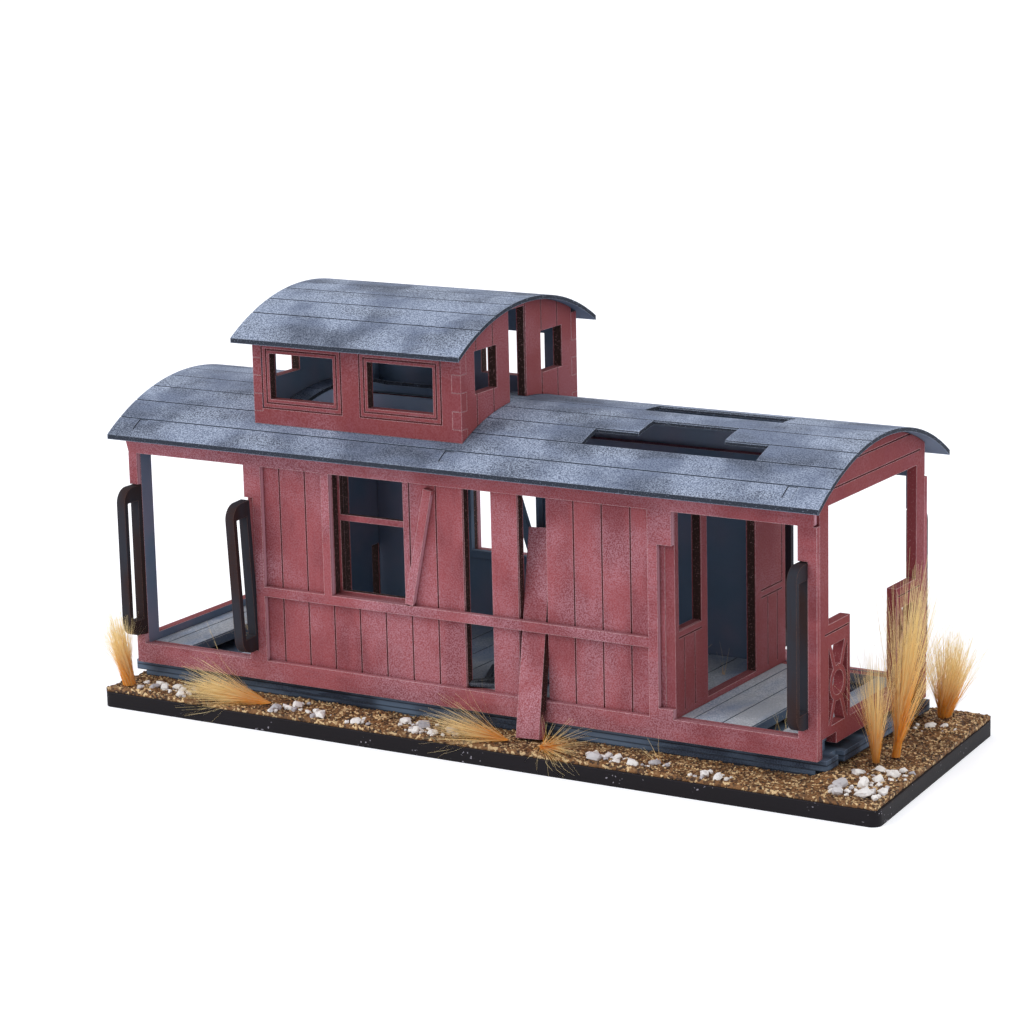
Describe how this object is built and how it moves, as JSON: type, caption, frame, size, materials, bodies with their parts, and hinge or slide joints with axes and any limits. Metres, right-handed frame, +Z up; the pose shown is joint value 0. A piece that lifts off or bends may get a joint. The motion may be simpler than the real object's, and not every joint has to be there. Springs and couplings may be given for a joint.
{
  "type": "scale model of a derelict railway caboose with a roof lookout on a scenic base",
  "caption": "Sheet-built scale model of a derelict caboose: planked cabin, open platforms, curved roofs, raised lookout and damage, standing on a scenic base.",
  "frame": {"origin": "middle of the base's underside", "axes": "+X along the car towards its railed end, +Y towards the side away from the single window and fallen plank, +Z up"},
  "size_m": [0.17, 0.0616, 0.0829],
  "materials": {
    "base_paint": "black-painted edge of medium-density fibreboard",
    "gravel": "fine brown ballast glued down, dusted pale",
    "chassis_paint": "matt blue-grey acrylic paint on fibreboard, drybrushed",
    "floor_paint": "pale blue-grey acrylic, drybrushed",
    "wall_paint": "matt oxide-red acrylic on fibreboard, drybrushed pink on the edges",
    "dark_trim": "dark painted fibreboard, worn brown",
    "roof_paint": "stippled blue-grey acrylic on thin board",
    "grab_rail_paint": "black paint, worn to brown on the edges",
    "grass": "dyed static grass fibres",
    "stone": "pale limestone chips"
  },
  "bodies": {
    "root": {"base_board": "base_paint", "gravel_bed": "gravel", "lower_chassis": "chassis_paint", "upper_chassis": "chassis_paint", "floor_bearers": "chassis_paint", "floor_deck": "floor_paint", "front_wall": "wall_paint", "back_wall": "wall_paint", "front_side_frame": "wall_paint", "back_side_frame": "wall_paint", "front_window_lining": "dark_trim", "back_window_lining": "dark_trim", "left_end_wall": "wall_paint", "right_end_wall": "wall_paint", "left_end_frame": "wall_paint", "right_end_frame": "wall_paint", "roof_ribs": "chassis_paint", "main_roof": "roof_paint", "roof_tabs": "roof_paint", "lookout_front_wall": "wall_paint", "lookout_back_wall": "wall_paint", "lookout_left_wall": "wall_paint", "lookout_right_wall": "wall_paint", "lookout_roof": "roof_paint", "front_left_grab_rail": "grab_rail_paint", "front_right_grab_rail": "grab_rail_paint", "front_cabin_grab_rail": "grab_rail_paint", "back_left_grab_rail": "grab_rail_paint", "back_right_grab_rail": "grab_rail_paint", "back_cabin_grab_rails": "grab_rail_paint", "fallen_plank": "wall_paint", "front_batten": "wall_paint", "back_batten": "dark_trim", "grass_tufts": "grass", "stones": "stone"}
  },
  "joints": []
}
